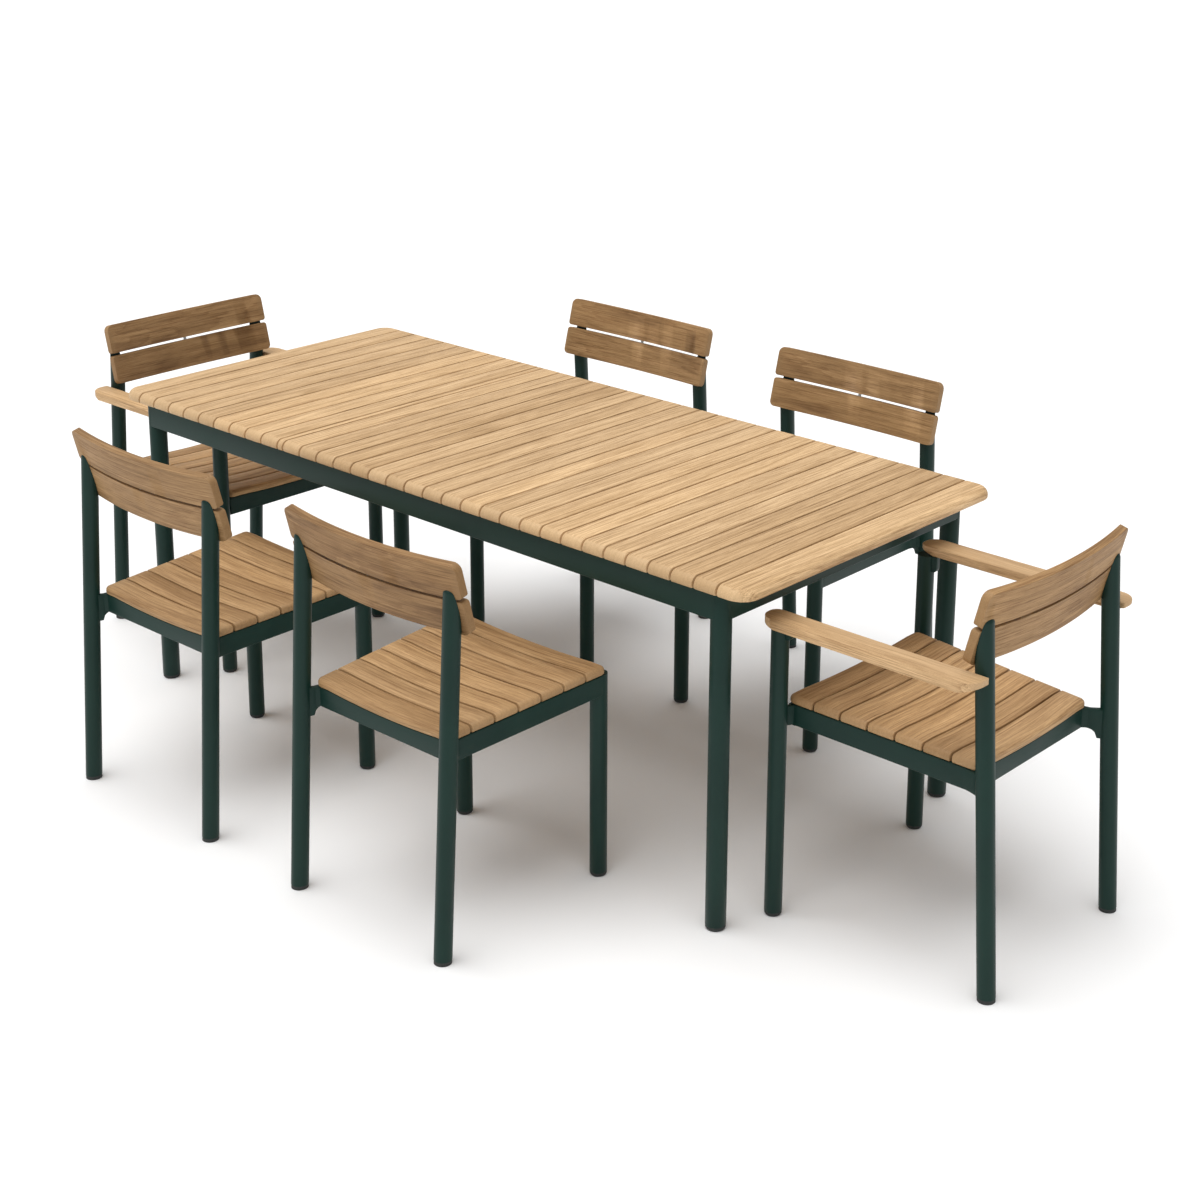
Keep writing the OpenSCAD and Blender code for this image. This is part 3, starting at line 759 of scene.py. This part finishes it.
def dipped_bar(c, half, a, y_front):
    """A bar across the chair, straight below, whose top follows the slats' dip."""
    bar = block("dipped_bar", (2 * half, RAIL_W, RAIL_H), (0, y_front - RAIL_W / 2, -RAIL_H / 2))
    ease(bar, lambda e: along(e, 0), BAR_ARRIS)
    columns(bar, dip_stations(a))
    bow(bar, lambda x: dip(x, a), (0, 0, 1), only=lambda co: co.z > -RAIL_H / 2)
    return settle(bar, seat_axes())


def swept_web(c, side):
    """Carries a side rail's outer face out to the rear leg in one curve."""
    leg_y = rear_leg_y(c, SEAT_RAIL_Z)
    y0 = back_edge(c) + WEB_START
    start_x = half_width(c, y0) - WEB_T / 2
    reach = c["rear_x"] - WEB_SHORT - half_width(c, y0)
    length = y0 - leg_y

    def sweep(y):
        return reach * ((y0 - y) / length) ** 2

    def elbow(y):
        """How far the web hangs down, in a round hollow against the leg."""
        clear = max(0, math.hypot(start_x + sweep(y) - c["rear_x"], y - leg_y) - LEG_R)
        return ELBOW_R - math.sqrt(ELBOW_R ** 2 - max(0, ELBOW_R - clear) ** 2)
    middle = (side * start_x, leg_y + length / 2, -RAIL_H / 2)
    web = block("swept_web", (WEB_T, length, RAIL_H - SHY), middle)
    ease(web, lambda e: along(e, 1), ARRIS, 2)
    columns(web, [y0 - length * k / SWEEP_STEPS for k in range(1, SWEEP_STEPS)], axis=1)
    bow(web, sweep, (side, 0, 0), axis=1)
    bow(web, elbow, (0, 0, -1), axis=1, only=lambda co: co.z < -RAIL_H / 2)
    return settle(web, seat_axes())


def connector(start, end):
    """A flat plate on edge, from one point to the other under the seat."""
    run = Vector((end[0] - start[0], end[1] - start[1], 0))
    plate = block("connector", (run.length, CONNECTOR_T, RAIL_H - 2 * SHY), (run.length / 2, 0, -RAIL_H / 2))
    ease(plate, lambda e: along(e, 0), ARRIS, 2)
    turn = Matrix.Rotation(math.atan2(run.y, run.x), 4, "Z")
    return settle(plate, seat_axes() @ Matrix.Translation((start[0], start[1], 0)) @ turn)


def seat_frame(c):
    """The rails round the seat, the plates that join them to the legs, and the strap under the slats."""
    front_y = c["front"] - RAIL_IN
    back_y = back_edge(c) + RAIL_IN
    rear_y = back_y + RAIL_W
    half = half_width(c, front_y) - SHY if c["arms"] else c["front_x"]
    parts = [dipped_bar(c, half, dip_half(c, 0), front_y),
             dipped_bar(c, half_width(c, rear_y) - 2 * SHY, dip_half(c, SEAT_SLATS - 1), rear_y)]
    y1 = front_y - (RAIL_W / 2 if c["arms"] else SIDE_BAR_BACK)
    y2 = rear_y - RAIL_W / 2
    for side in (-1, 1):
        p1 = Vector((side * (half_width(c, y1) - RAIL_W / 2), y1, 0))
        p2 = Vector((side * (half_width(c, y2) - RAIL_W / 2), y2, 0))
        run = p1 - p2
        bar = block("side_bar", (run.length, RAIL_W, RAIL_H), (run.length / 2, 0, -RAIL_H / 2))
        ease(bar, lambda e: along(e, 0), BAR_ARRIS)
        turn = Matrix.Rotation(math.atan2(run.y, run.x), 4, "Z")
        parts.append(settle(bar, seat_axes() @ Matrix.Translation(p2) @ turn))
        parts.append(connector((side * (half_width(c, back_y) - CONNECTOR_IN), back_y + RAIL_W / 2),
                               (side * c["rear_x"], rear_leg_y(c, SEAT_RAIL_Z))))
        parts.append(swept_web(c, side))
        if c["arms"]:
            parts.append(connector((side * (half_width(c, 0) - CONNECTOR_IN), front_y - CONNECTOR_BACK),
                                   (side * c["front_x"], 0)))
    strap_l = c["depth"] - 2 * (RAIL_IN + RAIL_W)
    strap_middle = (0, (front_y - RAIL_W + rear_y) / 2, -SEAT_DIP - STRAP_T / 2)
    strap = block("strap", (STRAP_W, strap_l, STRAP_T), strap_middle)
    ease(strap, lambda e: along(e, 1), STRAP_ARRIS, 2)
    parts.append(settle(strap, seat_axes()))
    return together("seat_bars", parts)


def rear_posts(c):
    """The leaning rear legs, cut off flat at the glides and along the back slats' rear face."""
    spare = 0.02
    posts = []
    for side in (-1, 1):
        axes = rear_leg_axes(c, side)
        post = rod("rear_post", LEG_R, LEG_TOP + spare, -spare, 56)
        ease(post, lambda e: rim(e, 1), LEG_R / 2, 5)
        theta = side * math.asin(c["rear_x"] / (BACK_R + BACK_T))
        plane = back_axes(c) @ Matrix.Translation((0, BACK_R, 0)) @ Matrix.Rotation(theta, 4, "Z")
        point = axes.inverted() @ (plane @ Vector((0, -BACK_R - BACK_T - HAIR, 0)))
        normal = (axes.inverted() @ plane).to_3x3() @ Vector((0, 1, 0))
        slice_off(point, normal)
        foot_point = axes.inverted() @ Vector((side * c["rear_x"], rear_foot_y(c), FOOT))
        slice_off(foot_point, axes.inverted().to_3x3() @ Vector((0, 0, -1)))
        posts.append(settle(post, axes))
    return together("rear_posts", posts)


def front_posts(c):
    """The upright front legs; an armchair's reach up to the armrests, each with a small gusset behind."""
    posts = []
    for side in (-1, 1):
        top = ARM_TOP - ARM_T - HAIR if c["arms"] else SEAT_RAIL_Z + 5 * HAIR
        post = rod("front_post", LEG_R, top - FOOT, FOOT, 56)
        ease(post, lambda e: rim(e, -1), FOOT_ARRIS, 2)
        posts.append(settle(post, Matrix.Translation((side * c["front_x"], 0, 0))))
        if c["arms"]:
            gusset = block("gusset", GUSSET, (side * c["front_x"], -LEG_R - 2 * SHY, top - GUSSET[2] / 2))
            ease(gusset, lambda e: along(e, 0) and e.verts[0].co.z < top - GUSSET[2] / 2
                 and e.verts[0].co.y < -LEG_R - GUSSET[1] / 2, GUSSET_R, 5)
            ease(gusset, lambda e: not along(e, 0) and border(e, 0, 0.9, 0.5), GUSSET_ARRIS, 2)
            posts.append(settle(gusset))
    return together("front_posts", posts)


def arm_boards(c):
    """The two armrests, outside the rear legs and over the front ones, undercut at both ends."""
    inner = c["rear_x"] + LEG_R + 3 * HAIR
    y0 = rear_leg_y(c, ARM_TOP) - ARM_BEHIND
    y1 = LEG_R - 2 * SHY
    h = (y1 - y0) / 2
    boards = []
    for side in (-1, 1):
        board = block("arm_board", (ARM_W, y1 - y0, ARM_T))
        for end in (-1, 1):
            slice_off((0, end * h, ARM_T / 2 - ARM_NOSE), (0, end * ARM_CUT_RISE, -ARM_CUT_RUN))
        for sx, sy, r in ARM_CORNERS:
            ease(board, lambda e: along(e, 2) and e.verts[0].co.x * sx * side > ARM_W / 2 - HAIR
                 and e.verts[0].co.y * sy > h - HAIR, r, 9)
        ease(board, lambda e: rim(e, -1, 0.9, 0.5), ARM_UNDER_R, 4)
        ease(board, lambda e: rim(e, 1), RAIL_ARRIS)
        grain_marks(board, 1, 0 if side < 0 else 1)
        place = Matrix.Translation((side * (inner + ARM_W / 2), (y0 + y1) / 2, ARM_TOP - ARM_T / 2))
        boards.append(settle(board, place))
    return together("arm_boards", boards)


# ---------------------------------------------------------------- chairs

def chair_origin(chair, turn):
    """On the floor, midway between the front legs, from the legs' own box."""
    lo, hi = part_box(f"{chair}_front_legs")
    mid = box_middle(lo, hi)
    if turn == 0:
        return Vector((mid.x, hi.y - LEG_R, 0))
    if turn == 180:
        return Vector((mid.x, lo.y + LEG_R, 0))
    if turn == -90:
        return Vector((hi.x - LEG_R, mid.y, 0))
    return Vector((lo.x + LEG_R, mid.y, 0))


def seat_chairs():
    """Makes the pieces of a side chair and of an armchair once, and copies them to all six places."""
    side_set = dict(seat_slats=seat_boards(SIDE), back_slats=back_boards(SIDE), seat_rails=seat_frame(SIDE),
                    rear_legs=rear_posts(SIDE), front_legs=front_posts(SIDE))
    arm_set = dict(seat_slats=seat_boards(ARM), back_slats=back_boards(ARM), seat_rails=seat_frame(ARM),
                   rear_legs=rear_posts(ARM), front_legs=front_posts(ARM), armrests=arm_boards(ARM))
    finish = dict(seat_slats=(SEAT_TEAK, "seat_wood"), back_slats=(SHADED_BACK_TEAK, "back_wood"),
                  seat_rails=(GREEN, "frame_paint"), rear_legs=(GREEN, "frame_paint"),
                  front_legs=(GREEN, "frame_paint"), armrests=(ARM_TEAK, "arm_wood"))
    for chair, turn, models in (("near_left_chair", 0, side_set), ("near_right_chair", 0, side_set),
                                ("far_left_chair", 180, side_set), ("far_right_chair", 180, side_set),
                                ("left_end_armchair", -90, arm_set), ("right_end_armchair", 90, arm_set)):
        place = Matrix.Translation(chair_origin(chair, turn)) @ Matrix.Rotation(math.radians(turn), 4, "Z")
        for part, model in models.items():
            mat, slot = finish[part]
            piece = copy_to(model, f"{chair}_{model.name}", place)
            finish_piece(piece, mat, slot, chair, f"{chair}_{part}")
    for models in (side_set, arm_set):
        for model in models.values():
            bpy.data.objects.remove(model, do_unlink=True)


def paint_hardware():
    """The pieces that keep their own shape get their finishes."""
    for node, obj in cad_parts.items():
        if node.endswith("feet"):
            mat = GLIDE
        elif node.endswith(("fixings", "bolts", "screws")):
            mat = STEEL
        else:
            mat = GREEN
        if not obj.material_slots:
            obj.data.materials.append(mat)
        for s in obj.material_slots:
            s.material = mat


# ---------------------------------------------------------------- studio

def studio():
    """A pale floor under one broad, soft light from overhead, with a little light from all round."""
    clear_selection()
    bpy.ops.mesh.primitive_plane_add(size=60, location=(0, 0, -5 * HAIR))
    floor = bpy.context.object
    floor.name = "studio_floor"
    mat, tree, shader = new_finish("pale_floor")
    shader.inputs["Base Color"].default_value = (0.95, 0.95, 0.95, 1)
    shader.inputs["Roughness"].default_value = 0.9
    shader.inputs["Specular IOR Level"].default_value = 0.1
    dress(floor, mat)
    world = bpy.data.worlds.new("studio_air")
    bpy.context.scene.world = world
    world.use_nodes = True
    sky = world.node_tree.nodes["Background"]
    sky.inputs["Color"].default_value = (1, 1, 1, 1)
    sky.inputs["Strength"].default_value = 0.52
    lamp = bpy.data.objects.new("overhead_light", bpy.data.lights.new("overhead_light", "SUN"))
    lamp.data.energy = 2.45
    lamp.data.angle = math.radians(62)
    bpy.context.collection.objects.link(lamp)
    lamp.location = (0, 0, 4)
    aim = Vector((0.08, 0.20, -1))
    lamp.rotation_euler = aim.to_track_quat("-Z", "Y").to_euler()


def camera():
    """A camera a little above head height, off the near right corner, looking down across the table."""
    yaw = math.radians(-40.520)
    pitch = math.radians(15.628)
    roll = math.radians(0.865)
    ahead = Vector((math.sin(yaw) * math.cos(pitch), math.cos(yaw) * math.cos(pitch), -math.sin(pitch)))
    right = Vector((math.cos(yaw), -math.sin(yaw), 0))
    up = right.cross(ahead)
    across = math.cos(roll) * right + math.sin(roll) * up
    upward = -math.sin(roll) * right + math.cos(roll) * up
    cam = bpy.data.objects.new("studio_camera", bpy.data.cameras.new("studio_camera"))
    bpy.context.collection.objects.link(cam)
    stand = Matrix((across, upward, -ahead)).transposed().to_4x4()
    stand.translation = Vector((3.2001, -3.2412, 2.1991))
    cam.matrix_world = stand
    cam.data.sensor_width = 36
    cam.data.lens = 63.82
    cam.data.shift_x = -0.08
    cam.data.shift_y = -0.20
    bpy.context.scene.camera = cam


lay_table()
frame_table()
seat_chairs()
paint_hardware()
studio()
camera()
bpy.context.scene.view_settings.view_transform = "Standard"
